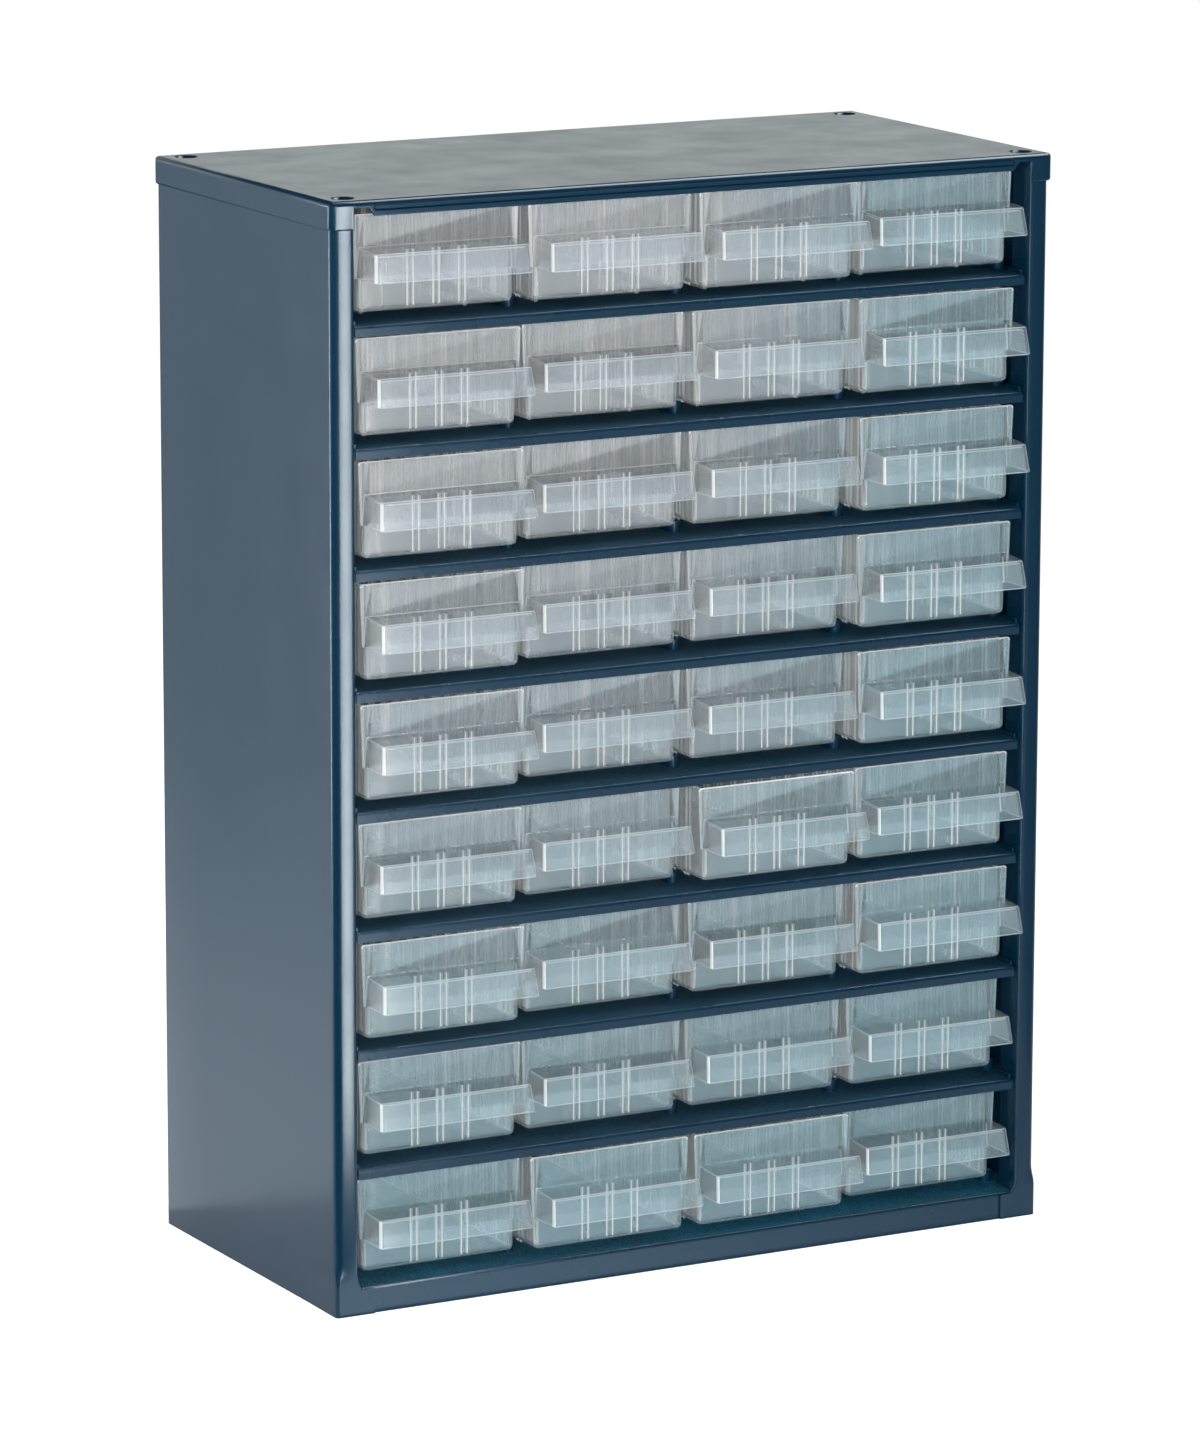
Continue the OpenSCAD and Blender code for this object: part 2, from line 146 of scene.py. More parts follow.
world = bpy.data.worlds.new("studio")
bpy.context.scene.world = world
world.use_nodes = True
sky = world.node_tree
sky.nodes.clear()
way = node(sky, "ShaderNodeTexCoord")
parts = node(sky, "ShaderNodeSeparateXYZ")
join(sky, way.outputs["Generated"], parts.inputs[0])
front_shade = node(sky, "ShaderNodeMapRange", interpolation_type="SMOOTHSTEP",
                   From_Min=ROOM_END, From_Max=BACKDROP_START, To_Min=ROOM_LEVEL, To_Max=BACKDROP_LEVEL)
join(sky, parts.outputs["Y"], front_shade.inputs["Value"])
above_shade = node(sky, "ShaderNodeMapRange", interpolation_type="SMOOTHSTEP",
                   From_Min=WALL_TOP, From_Max=OVERHEAD_START, To_Min=1.0, To_Max=OVERHEAD_MIRRORED)
join(sky, parts.outputs["Z"], above_shade.inputs["Value"])
seen = node(sky, "ShaderNodeLightPath")
above = blend_value(sky, seen.outputs["Is Glossy Ray"], 1.0, above_shade.outputs["Result"])
shown = math_node(sky, "MULTIPLY", front_shade.outputs["Result"], above)
level = blend_value(sky, seen.outputs["Is Camera Ray"], shown, 1.0)
sky_light = node(sky, "ShaderNodeBackground")
tint = node(sky, "ShaderNodeMix", data_type="RGBA")
tint.inputs[6].default_value = (1, 1, 1, 1)
tint.inputs[7].default_value = BACKDROP_MIRRORED
join(sky, seen.outputs["Is Glossy Ray"], tint.inputs[0])
join(sky, tint.outputs[2], sky_light.inputs["Color"])
join(sky, level, sky_light.inputs["Strength"])
sky_out = node(sky, "ShaderNodeOutputWorld")
join(sky, sky_light.outputs[0], sky_out.inputs["Surface"])

floor_mesh = bpy.data.meshes.new("floor")
half = FLOOR_SIZE / 2
floor_mesh.from_pydata([(-half, -half, 0), (half, -half, 0), (half, half, 0), (-half, half, 0)], [],
                       [(0, 1, 2, 3)])
floor = link(bpy.data.objects.new("floor", floor_mesh))
floor_white = bpy.data.materials.new("floor_white")
floor_white.use_nodes = True
tree = floor_white.node_tree
shade = tree.nodes["Principled BSDF"]
shade.inputs["Base Color"].default_value = FLOOR_WHITE
shade.inputs["Roughness"].default_value = 0.9
shade.inputs["Specular IOR Level"].default_value = 0.0
shade.inputs["Emission Color"].default_value = (1, 1, 1, 1)
seen = node(tree, "ShaderNodeLightPath")
mirrored = blend_value(tree, seen.outputs["Is Glossy Ray"], 0.0, FLOOR_GLOW_MIRRORED)
glow = blend_value(tree, seen.outputs["Is Camera Ray"], mirrored, FLOOR_GLOW_SEEN)
join(tree, glow, shade.inputs["Emission Strength"])
floor_mesh.materials.append(floor_white)


def lamp(name, place, aim, width, height, power, mirrored, colour=(1, 1, 1)):
    """A lamp of a width and height facing a point; mirrored lamps only show in gloss, others never do."""
    data = bpy.data.lights.new(name, "AREA")
    data.shape = "RECTANGLE"
    data.size = width
    data.size_y = height
    data.energy = power
    data.color = colour
    made = link(bpy.data.objects.new(name, data))
    made.location = place
    made.rotation_mode = "QUATERNION"
    made.rotation_quaternion = (Vector(aim) - Vector(place)).to_track_quat("-Z", "Y")
    made.visible_camera = False
    made.visible_glossy = mirrored
    made.visible_diffuse = not mirrored


MIDDLE = (0, 0, 0.2)
lamp("lamp_front", (-0.9, -2.1, 0.50), MIDDLE, 1.8, 0.9, power=50, mirrored=False)
lamp("lamp_left", (-2.0, 0.9, 0.6), MIDDLE, 1.4, 0.9, power=31, mirrored=False)
lamp("lamp_top", (0.3, -0.6, 2.0), MIDDLE, 1.6, 1.2, power=10, mirrored=False)
lamp("strip_front", (-0.087, -0.30, 0.22), (-0.15, -0.08, 0.22), 0.046, 0.48, power=1.55, mirrored=True,
     colour=(1, 0.92, 0.86))
lamp("strip_left", (-0.70, 0.46, 0.22), (-0.15, 0, 0.22), 0.10, 0.46, power=2.4, mirrored=True)
lamp("strip_above", (0.90, 0.0, 1.80), MIDDLE, 1.0, 0.9, power=26, mirrored=True)


def card(name, outline, colour, glow=(0.0, 0.0), spot=(0, 0), reach=(0.2, 1.2)):
    """A card on the floor that only shows in gloss; its glow changes with the distance from a spot."""
    mesh = bpy.data.meshes.new(name)
    mesh.from_pydata([(x, y, CARD_Z) for x, y in outline], [], [tuple(range(len(outline)))])
    matt = bpy.data.materials.new(name)
    matt.use_nodes = True
    tree = matt.node_tree
    shade = tree.nodes["Principled BSDF"]
    shade.inputs["Base Color"].default_value = (*colour, 1)
    shade.inputs["Specular IOR Level"].default_value = 0.0
    shade.inputs["Emission Color"].default_value = CARD_GLOW
    place = node(tree, "ShaderNodeTexCoord")
    away = node(tree, "ShaderNodeVectorMath", operation="DISTANCE")
    join(tree, place.outputs["Object"], away.inputs[0])
    away.inputs[1].default_value = (*spot, 0)
    fading = node(tree, "ShaderNodeMapRange", interpolation_type="SMOOTHSTEP",
                  From_Min=reach[0], From_Max=reach[1], To_Min=glow[0], To_Max=glow[1])
    join(tree, away.outputs["Value"], fading.inputs["Value"])
    join(tree, fading.outputs["Result"], shade.inputs["Emission Strength"])
    mesh.materials.append(matt)
    made = link(bpy.data.objects.new(name, mesh))
    for ray in ("camera", "diffuse", "shadow", "transmission"):
        setattr(made, "visible_" + ray, False)


card("black_card", [(-3.0, -3.0), (0.9, -3.0), (0.16, -0.80), (-0.13, -0.12), (-0.5, 0.02), (-3.0, 0.7)],
     (0.01, 0.01, 0.01))
card("grey_card", [(0.30, -0.20), (0.75, -0.95), (2.1, -3.0), (4.0, -3.0), (4.0, -0.2)],
     (0.22, 0.22, 0.22))
card("pale_card", [(-0.14, 0.10), (-0.5, 0.03), (-3.0, 0.71), (-6.0, 3.0), (-4.0, 7.0), (-1.4, 7.0),
                   (-0.7, 2.3), (-0.12, 0.2)],
     BLACK, glow=(1.4, 0.72))
# Painted shadow: shade_card is a black card behind the cabinet that stands for the floor in its shadow,
# seen only in gloss.
card("shade_card", [(-0.12, 0.12), (-0.12, 0.2), (-0.7, 2.3), (-1.4, 7.0), (1.0, 7.0), (0.16, 0.12)],
     BLACK)
card("rail_card", [(-0.15, -0.069), (-0.15, -0.125), (0.20, -0.125), (0.20, -0.069)],
     BLACK, glow=(2.6, 1.0), spot=(-0.14, -0.10), reach=(0.0, 0.33))

# ---------------------------------------------------------------- base pan
# A folded steel pan whose front rail carries the lowest row. It is painted like the whole case:
# a dark blue powder coat, satin, with the fine pebbling of baked powder; its level floor gets painted
# light, a lighter teal.

CASE_BLUE = (0.002, 0.023, 0.050)
# Painted light: the pan's level floor is a lighter teal than the rest of the sheet.
BASE_FLOOR_PAINTED_LIGHT_BLUE = (0.001, 0.095, 0.165)
PAINT_GLINT = (0.74, 0.90, 1.0, 1)
LEVEL_START = 0.93
LEVEL_FULL = 0.995
BLOTCHES_PER_METRE = 38.0
BLOTCH_SHARE = 0.3
GLOSS_CHANGE = 0.03
MERGE = 0.000001
FLAT = 0.99999
FOLD_ANGLE = math.radians(40)


def new_group(name, inputs, outputs):
    """A shader node group with named sockets: (name, kind, default) in, (name, kind) out."""
    group = bpy.data.node_groups.new(name, "ShaderNodeTree")
    for label, kind, start in inputs:
        socket = group.interface.new_socket(label, in_out="INPUT", socket_type=kind)
        socket.default_value = start
    for label, kind in outputs:
        group.interface.new_socket(label, in_out="OUTPUT", socket_type=kind)
    return group, group.nodes.new("NodeGroupInput"), group.nodes.new("NodeGroupOutput")


def noise(tree, place, scale, detail, low, high, dimensions="3D"):
    """Noise spread from -1 to 1 between two of its levels."""
    made = node(tree, "ShaderNodeTexNoise", noise_dimensions=dimensions, Detail=detail, Roughness=0.6)
    join(tree, place, made.inputs["Vector"])
    if isinstance(scale, float):
        made.inputs["Scale"].default_value = scale
    else:
        join(tree, scale, made.inputs["Scale"])
    spread = node(tree, "ShaderNodeMapRange", From_Min=low, From_Max=high, To_Min=-1.0, To_Max=1.0)
    join(tree, made.outputs[0], spread.inputs["Value"])
    return spread.outputs["Result"]


def powder_coat_group():
    """Baked powder: pebbling that tints the colour, soft blotches, a coarser grain on level faces, and a
    second colour there for painted light.
    """
    group, given, result = new_group(
        "powder_coat",
        [("Color", "NodeSocketColor", (0.1, 0.1, 0.1, 1)),
         ("Floor Painted Light Color", "NodeSocketColor", (0.1, 0.1, 0.1, 1)),
         ("Speckle", "NodeSocketFloat", 0.2), ("Floor Speckle", "NodeSocketFloat", 0.5),
         ("Grain Size", "NodeSocketFloat", 0.0004)],
        [("Color", "NodeSocketColor"), ("Height", "NodeSocketFloat"), ("Gloss Change", "NodeSocketFloat"),
         ("Level", "NodeSocketFloat")])
    place = node(group, "ShaderNodeTexCoord")
    facing = node(group, "ShaderNodeSeparateXYZ")
    join(group, place.outputs["Normal"], facing.inputs[0])
    upward = node(group, "ShaderNodeMapRange", From_Min=LEVEL_START, From_Max=LEVEL_FULL)
    join(group, facing.outputs["Z"], upward.inputs["Value"])
    density = math_node(group, "DIVIDE", 1.0, given.outputs["Grain Size"])
    fine = noise(group, place.outputs["Object"], density, detail=2.0, low=0.3, high=0.7)
    blotch = noise(group, place.outputs["Object"], BLOTCHES_PER_METRE, detail=3.0, low=0.3, high=0.7)
    speckle = blend_value(group, upward.outputs["Result"], given.outputs["Speckle"],
                          given.outputs["Floor Speckle"])
    both = math_node(group, "ADD", fine, math_node(group, "MULTIPLY", blotch, BLOTCH_SHARE))
    change = math_node(group, "ADD", math_node(group, "MULTIPLY", both, speckle), 1.0)
    # Level faces take the second colour: painted light where it is lighter than the first.
    colour = node(group, "ShaderNodeMix", data_type="RGBA")
    join(group, upward.outputs["Result"], colour.inputs[0])
    join(group, given.outputs["Color"], colour.inputs[6])
    join(group, given.outputs["Floor Painted Light Color"], colour.inputs[7])
    tinted = node(group, "ShaderNodeVectorMath", operation="SCALE")
    join(group, colour.outputs[2], tinted.inputs[0])
    join(group, change, tinted.inputs["Scale"])
    join(group, tinted.outputs["Vector"], result.inputs["Color"])
    join(group, fine, result.inputs["Height"])
    join(group, blotch, result.inputs["Gloss Change"])
    join(group, upward.outputs["Result"], result.inputs["Level"])
    return group


powder_coat = powder_coat_group()


def paint(name, colour, floor_painted_light_colour, speckle, floor_speckle, grain_size, roughness, floor_roughness,
          grain_depth):
    """Powder coat in a colour (linear RGB) and one for its level faces, where painted light goes, with its
    grain in metres.
    """
    made = bpy.data.materials.new(name)
    made.use_nodes = True
    tree = made.node_tree
    shade = tree.nodes["Principled BSDF"]
    shade.inputs["Specular Tint"].default_value = PAINT_GLINT
    coat = node(tree, "ShaderNodeGroup", node_tree=powder_coat, Speckle=speckle,
                Floor_Speckle=floor_speckle, Grain_Size=grain_size)
    coat.inputs["Color"].default_value = (*colour, 1)
    coat.inputs["Floor Painted Light Color"].default_value = (*floor_painted_light_colour, 1)
    join(tree, coat.outputs["Color"], shade.inputs["Base Color"])
    satin = blend_value(tree, coat.outputs["Level"], roughness, floor_roughness)
    change = math_node(tree, "MULTIPLY", coat.outputs["Gloss Change"], GLOSS_CHANGE)
    rough = math_node(tree, "ADD", change, satin)
    join(tree, rough, shade.inputs["Roughness"])
    bump = node(tree, "ShaderNodeBump", Strength=0.3, Distance=grain_depth)
    join(tree, coat.outputs["Height"], bump.inputs["Height"])
    join(tree, bump.outputs["Normal"], shade.inputs["Normal"])
    return made


base_paint = paint("base_paint", CASE_BLUE, BASE_FLOOR_PAINTED_LIGHT_BLUE, speckle=0.12, floor_speckle=0.9,
                   grain_size=0.0008, roughness=0.28, floor_roughness=0.85, grain_depth=0.00002)


def smoothed(name, material, shaped=None):
    """Replaces a sheet piece with a copy in its finish whose folds look round; shaped may rework it."""
    bm = bmesh.new()
    bm.from_mesh(nodes[name].data)
    bm.transform(nodes[name].matrix_world)
    bmesh.ops.remove_doubles(bm, verts=bm.verts, dist=MERGE)
    if shaped:
        shaped(bm)
    bm.normal_update()
    for face in bm.faces:
        face.smooth = True
    for edge in bm.edges:
        flat = [max(abs(c) for c in face.normal) > FLAT for face in edge.link_faces]
        edge.smooth = len(set(flat)) == 1 and edge.calc_face_angle(0) < FOLD_ANGLE
    mesh = bpy.data.meshes.new(name + "_sheet")
    bm.to_mesh(mesh)
    bm.free()
    mesh.materials.clear()
    mesh.materials.append(material)
    made = link(bpy.data.objects.new(name + "_sheet", mesh))
    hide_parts(name)
    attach(made, "case")


smoothed("base_pan", base_paint)

# ---------------------------------------------------------------- side panels
# One folded sheet each: wall, round corner, slightly crowned front post with a return behind it,
# and a rear flange. The post ends in a tab that lies over the base rail and is spot-welded to it.

sheet = 0.0008
panel_low, panel_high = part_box("right_side_panel")
outer_x = panel_high.x
front_y = panel_low.y
back_y = panel_high.y
post_w = 0.0089
post_return = 0.012
corner_r = 0.0030
foot_corner_r = 0.0014
fold_r = 0.0014
rear_flange_w = 0.012
tab_w = 0.0155
tab_h = 0.0098
tab_r = 0.0008
neck_top = 0.0158
neck_low = tab_h - (neck_top - tab_h)
neck_reach = 0.0048
return_foot = 0.0118
foot_spread = 0.0003
spread_low = 0.012
spread_high = 0.020
spread_fade = 0.030
slant_inside = math.radians(2)
slant_outside = math.radians(9)
weld_x = 0.0118
weld_z = 0.0050
weld_r = 0.0024
weld_deep = 0.00035
RETURN_STEPS = 3
FOLD_STEPS = 8
FACE_STEPS = 10
CORNER_STEPS = 10
WALL_STEPS = 8
NEAR = 0.00001
SHARP_ANGLE = math.radians(35)
inner_x = outer_x - post_w
case_paint = paint("case_paint", CASE_BLUE, CASE_BLUE, speckle=0.12, floor_speckle=0.12,
                   grain_size=0.0006, roughness=0.22, floor_roughness=0.24, grain_depth=0.000012)


def smooth(value, low, high):
    """0 below low, 1 above high, and a soft rise between."""
    t = min(max((value - low) / (high - low), 0), 1)
    return t * t * (3 - 2 * t)


def fold(centre, radius, start, end, steps):
    """Points and normals along a bend; its angles are those of the outward normal, from +X."""
    made = []
    for i in range(steps + 1):
        angle = start + (end - start) * i / steps
        outward = Vector((math.cos(angle), math.sin(angle)))
        made.append((centre + outward * radius, outward))
    return made


def inner_stretch(z, face_start):
    """The post's inner edge at one height: return and fold above the foot, the tab at the foot."""
    if z < tab_h:
        round_up = max(z - (tab_h - tab_r), 0)
        edge_x = outer_x - tab_w + tab_r - math.sqrt(tab_r ** 2 - round_up ** 2)
        edge = Vector((edge_x, front_y))
        steps = RETURN_STEPS + FOLD_STEPS + 1
        return [(edge.lerp(face_start, i / steps), Vector((0, -1))) for i in range(steps)]
    reach = neck_reach * (1 - smooth(z, neck_low, neck_top))
    turn = math.pi / 2 * smooth(z, tab_h - 0.001, return_foot)
    depth = post_return - fold_r if z >= return_foot else 0
    centre = face_start + Vector((-reach, fold_r))
    bend = fold(centre, fold_r, -math.pi / 2 - turn, -math.pi / 2, FOLD_STEPS)
    end, outward = bend[0]
    tail = [(end + Vector((0, depth * (1 - i / RETURN_STEPS))), outward) for i in range(RETURN_STEPS)]
    return tail + bend


def panel_plan(z):
    """The panel's outer surface at one height, from the return to the rear flange, with normals."""
    above_foot = smooth(z, spread_low, spread_high)
    side_x = outer_x + foot_spread * (1 - above_foot)
    radius = foot_corner_r + (corner_r - foot_corner_r) * above_foot
    face_start = Vector((inner_x + fold_r, front_y))
    end_slant = slant_outside * above_foot
    face_end_x = side_x - radius + radius * math.sin(end_slant)
    step = (face_end_x - face_start.x) / FACE_STEPS
    plan = inner_stretch(z, face_start)
    place = face_start.copy()
    for i in range(1, FACE_STEPS + 1):
        slant = (slant_inside + (slant_outside - slant_inside) * i / FACE_STEPS) * above_foot
        place = place + Vector((step, step * math.tan(slant)))
        if i < FACE_STEPS:
            plan.append((place, Vector((math.sin(slant), -math.cos(slant)))))
    for i, (spot, outward) in enumerate(plan):
        off_weld = (spot.x - outer_x + weld_x) ** 2 + (z - weld_z) ** 2
        plan[i] = (spot + Vector((0, weld_deep * math.exp(-off_weld / weld_r ** 2))), outward)
    centre = place + Vector((-math.sin(end_slant), math.cos(end_slant))) * radius
    plan += fold(centre, radius, -math.pi / 2 + end_slant, 0, CORNER_STEPS)
    rear_centre = Vector((outer_x - fold_r, back_y - fold_r))
    wall_start = plan[-1][0].y
    for i in range(1, WALL_STEPS):
        behind = (rear_centre.y - wall_start) * (i / WALL_STEPS) ** 2
        wall_x = outer_x + (side_x - outer_x) * (1 - smooth(behind, 0, spread_fade))
        plan.append((Vector((wall_x, wall_start + behind)), Vector((1, 0))))
    plan += fold(rear_centre, fold_r, 0, math.pi / 2, FOLD_STEPS)
    plan.append((Vector((outer_x - rear_flange_w, back_y)), Vector((0, 1))))
    return plan


def mesh_object(name, bm):
    """Turns a bmesh into an object with outward faces."""
    bmesh.ops.recalc_face_normals(bm, faces=bm.faces)
    mesh = bpy.data.meshes.new(name)
    bm.to_mesh(mesh)
    bm.free()
    return link(bpy.data.objects.new(name, mesh))


def sheet_panel(name, side, heights):
    """Lofts the sheet from its plans, as a closed skin; side is 1 for the right panel, -1 for the left."""
    bm = bmesh.new()
    rings = []
    for z in heights:
        plan = panel_plan(z)
        outside = [bm.verts.new((side * spot.x, spot.y, z)) for spot, _ in plan]
        inside = [bm.verts.new((side * (spot.x - outward.x * sheet), spot.y - outward.y * sheet, z))
                  for spot, outward in plan]
        rings.append((outside, inside))
    for (low_out, low_in), (high_out, high_in) in zip(rings, rings[1:]):
        for i in range(len(low_out) - 1):
            bm.faces.new((low_out[i], low_out[i + 1], high_out[i + 1], high_out[i]))
            bm.faces.new((low_in[i + 1], low_in[i], high_in[i], high_in[i + 1]))
        bm.faces.new((low_in[0], low_out[0], high_out[0], high_in[0]))
        bm.faces.new((low_out[-1], low_in[-1], high_in[-1], high_out[-1]))
    for outside, inside in (rings[0], rings[-1]):
        for i in range(len(outside) - 1):
            bm.faces.new((outside[i], outside[i + 1], inside[i + 1], inside[i]))
    bmesh.ops.remove_doubles(bm, verts=bm.verts, dist=MERGE)
    made = mesh_object(name, bm)
    for face in made.data.polygons:
        face.use_smooth = True
    made.data.set_sharp_from_angle(angle=SHARP_ANGLE)
    return made


def steps_between(low, high, count):
    """Heights from low up to, but not including, high."""
    return [low + (high - low) * i / count for i in range(count)]


heights = (
    steps_between(0, tab_h - tab_r, 8) + steps_between(tab_h - tab_r, tab_h - NEAR, 5) + [tab_h - NEAR]
    + steps_between(tab_h, return_foot - NEAR, 6) + [return_foot - NEAR]
    + steps_between(return_foot, spread_high, 9) + steps_between(spread_high, panel_high.z, 8)
    + [panel_high.z]
)
for name, side in (("left_side_panel", -1), ("right_side_panel", 1)):
    panel = sheet_panel(name.replace("_panel", "_sheet"), side, heights)
    panel.data.materials.append(case_paint)
    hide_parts(name)
    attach(panel, "case")

# ---------------------------------------------------------------- back panel
# A flat painted sheet with two holes for wall screws. It lies on the side panels' rear flanges,
# and the rivets hold it there.

smoothed("back_panel", case_paint)

# ---------------------------------------------------------------- shelves
# Eight folded sheets with pressed guides. Their level floors are duller than the case, with a coarser
# speckle, and painted a brighter blue than it: painted light.

# Painted light: the shelves' level floors are a brighter blue than their lips.
SHELF_FLOOR_PAINTED_LIGHT_BLUE = (0.001, 0.048, 0.092)
shelf_paint = paint("shelf_paint", CASE_BLUE, SHELF_FLOOR_PAINTED_LIGHT_BLUE, speckle=0.12, floor_speckle=0.8,
                    grain_size=0.0008, roughness=0.28, floor_roughness=0.85, grain_depth=0.00002)

for name in nodes:
    if name.startswith("shelf_"):
        smoothed(name, shelf_paint)

# ---------------------------------------------------------------- top cover
# A pressed lid of thicker sheet that slips over the case. Its hem and cut edges are rounded, and
# its corner caps lean back like the posts under them.

cap_depth = 0.006
hem_r = 0.0009
cover_edge_r = 0.0004
SEAM_ANGLE = math.radians(0.5)
CUT_ANGLE = math.radians(50)
HEM_STEPS = 4
EDGE_STEPS = 2


def round_off(bm, edges, radius, segments):
    """Rounds some edges of a mesh."""
    bmesh.ops.bevel(bm, geom=edges, offset=radius, segments=segments, affect="EDGES", profile=0.5,
                    clamp_overlap=False)


def press_cover(bm):
    """Rounds the skirt's foot and the cut edges, and leans the corner caps back like the posts."""
    low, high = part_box("top_cover")
    foot = min(v.co.z for v in bm.verts)
    face_w = outer_x - inner_x
    start = math.tan(slant_inside)
    end = math.tan(slant_outside)
    bmesh.ops.dissolve_limit(bm, angle_limit=SEAM_ANGLE, verts=bm.verts, edges=bm.edges)
    hem = [e for e in bm.edges if all(
        v.co.z < foot + MERGE and max(abs(v.co.x) - high.x, v.co.y - high.y, low.y - v.co.y) > -sheet
        for v in e.verts)]
    round_off(bm, hem, hem_r, HEM_STEPS)
    for side in (-1, 1):
        for i in range(FACE_STEPS):
            at = Vector((side * (inner_x + face_w * i / FACE_STEPS), 0, 0))
            everything = bm.verts[:] + bm.edges[:] + bm.faces[:]
            bmesh.ops.bisect_plane(bm, geom=everything, plane_co=at, plane_no=(1, 0, 0), dist=MERGE / 10)
    for vert in bm.verts:
        out = min(max((abs(vert.co.x) - inner_x) / face_w, 0), 1)
        back_by = face_w * out * (start + (end - start) * out / 2)
        vert.co.y += back_by * (1 - smooth(vert.co.y - front_y, 0, cap_depth))
    cut_edges = [e for e in bm.edges if e.is_manifold and e.calc_face_angle() > CUT_ANGLE]
    round_off(bm, cut_edges, cover_edge_r, EDGE_STEPS)


smoothed("top_cover", case_paint, press_cover)

# ---------------------------------------------------------------- rivets
# Blind rivets with domed heads and a sunk end of the drawn pin: eight hold the back panel, two
# hold the cover's rear skirt. One head is repeated by a tree at the nodes' own places.

rivet_head_d = 0.00528
rivet_head_h = 0.00102
rivet_pin_d = 0.0018
rivet_pin_sunk = 0.35
RIVET_BLUE = (0.010, 0.050, 0.090)
rivet_paint = paint("rivet_paint", RIVET_BLUE, RIVET_BLUE, speckle=0.10, floor_speckle=0.10,
                    grain_size=0.0005, roughness=0.30, floor_roughness=0.32, grain_depth=0.00001)


def new_tree(name, inputs):
    """A geometry tree with a mesh in and out and named sizes: (name, kind, default)."""
    tree = bpy.data.node_groups.new(name, "GeometryNodeTree")
    tree.interface.new_socket("Geometry", in_out="INPUT", socket_type="NodeSocketGeometry")
    for label, kind, start in inputs:
        socket = tree.interface.new_socket(label, in_out="INPUT", socket_type=kind)
        socket.default_value = start
    tree.interface.new_socket("Geometry", in_out="OUTPUT", socket_type="NodeSocketGeometry")
    return tree, tree.nodes.new("NodeGroupInput"), tree.nodes.new("NodeGroupOutput")


def finish_tree(tree, result, geometry, material):
    """Ends a tree: real copies in place of instances, and their material."""
    real = node(tree, "GeometryNodeRealizeInstances")
    join(tree, geometry, real.inputs[0])
    finish = node(tree, "GeometryNodeSetMaterial")
    finish.inputs["Material"].default_value = material
    join(tree, real.outputs[0], finish.inputs["Geometry"])
    join(tree, finish.outputs[0], result.inputs["Geometry"])


def settled(obj, name):
    """The object's mesh with its modifiers worked in, as a new plain mesh; the object goes."""
    seen = obj.evaluated_get(bpy.context.evaluated_depsgraph_get())
    mesh = bpy.data.meshes.new_from_object(seen)
    mesh.name = name
    bpy.data.objects.remove(obj)
    return mesh


def grown(name, tree, sizes, points=()):
    """Runs a tree on loose points with its inputs set, and returns the plain mesh."""
    mesh = bpy.data.meshes.new(name)
    mesh.from_pydata(list(points), [], [])
    obj = link(bpy.data.objects.new(name, mesh))
    run = obj.modifiers.new("tree", "NODES")
    run.node_group = tree
    for item in tree.interface.items_tree:
        if item.in_out == "INPUT" and item.name in sizes:
            run[item.identifier] = sizes[item.name]
    return settled(obj, name)


def rivet_heads_tree():
    """A domed head with a sunk pin at each point, lying on a wall that faces +Y."""
    tree, given, result = new_tree("rivet_heads", [("Head Width", "NodeSocketFloat", 0.005),
                                                   ("Head Height", "NodeSocketFloat", 0.001),
                                                   ("Pin Width", "NodeSocketFloat", 0.002)])
    profile = node(tree, "GeometryNodeMeshUVSphere", Segments=24, Rings=12)
    join(tree, math_node(tree, "DIVIDE", given.outputs["Head Width"], 2.0), profile.inputs["Radius"])
    place = node(tree, "GeometryNodeInputPosition")
    parts = node(tree, "ShaderNodeSeparateXYZ")
    join(tree, place.outputs[0], parts.inputs[0])
    across = node(tree, "ShaderNodeVectorMath", operation="LENGTH")
    flat = node(tree, "ShaderNodeCombineXYZ")
    join(tree, parts.outputs["X"], flat.inputs["X"])
    join(tree, parts.outputs["Y"], flat.inputs["Y"])
    join(tree, flat.outputs[0], across.inputs[0])
    in_pin = node(tree, "ShaderNodeMath", operation="LESS_THAN")
    join(tree, across.outputs["Value"], in_pin.inputs[0])
    join(tree, math_node(tree, "DIVIDE", given.outputs["Pin Width"], 2.0), in_pin.inputs[1])
    squash = math_node(tree, "DIVIDE", given.outputs["Head Height"],
                       math_node(tree, "DIVIDE", given.outputs["Head Width"], 2.0))
    height = math_node(tree, "MAXIMUM", math_node(tree, "MULTIPLY", parts.outputs["Z"], squash), 0.0)
    sunk = math_node(tree, "SUBTRACT", 1.0, math_node(tree, "MULTIPLY", in_pin.outputs[0], rivet_pin_sunk))
    lowered = math_node(tree, "MULTIPLY", height, sunk)
    shaped = node(tree, "ShaderNodeCombineXYZ")
    join(tree, parts.outputs["X"], shaped.inputs["X"])
    join(tree, lowered, shaped.inputs["Y"])
    join(tree, parts.outputs["Y"], shaped.inputs["Z"])
    moved = node(tree, "GeometryNodeSetPosition")
    join(tree, profile.outputs["Mesh"], moved.inputs["Geometry"])
    join(tree, shaped.outputs[0], moved.inputs["Position"])
    copies = node(tree, "GeometryNodeInstanceOnPoints")
    join(tree, given.outputs["Geometry"], copies.inputs["Points"])
    join(tree, moved.outputs[0], copies.inputs["Instance"])
    finish_tree(tree, result, copies.outputs[0], rivet_paint)
    return tree


def solid_places(obj):
    """The lowest and highest corners of each separate solid in a frame node."""
    bm = bmesh.new()
    bm.from_mesh(obj.data)
    bmesh.ops.remove_doubles(bm, verts=bm.verts, dist=MERGE)
    left = set(bm.verts)
    found = []
    while left:
        group = [left.pop()]
        for vert in group:
            for edge in vert.link_edges:
                other = edge.other_vert(vert)
                if other in left:
                    left.remove(other)
                    group.append(other)
        found.append([Vector([pick(v.co[i] for v in group) for i in range(3)]) for pick in (min, max)])
    bm.free()
    return found


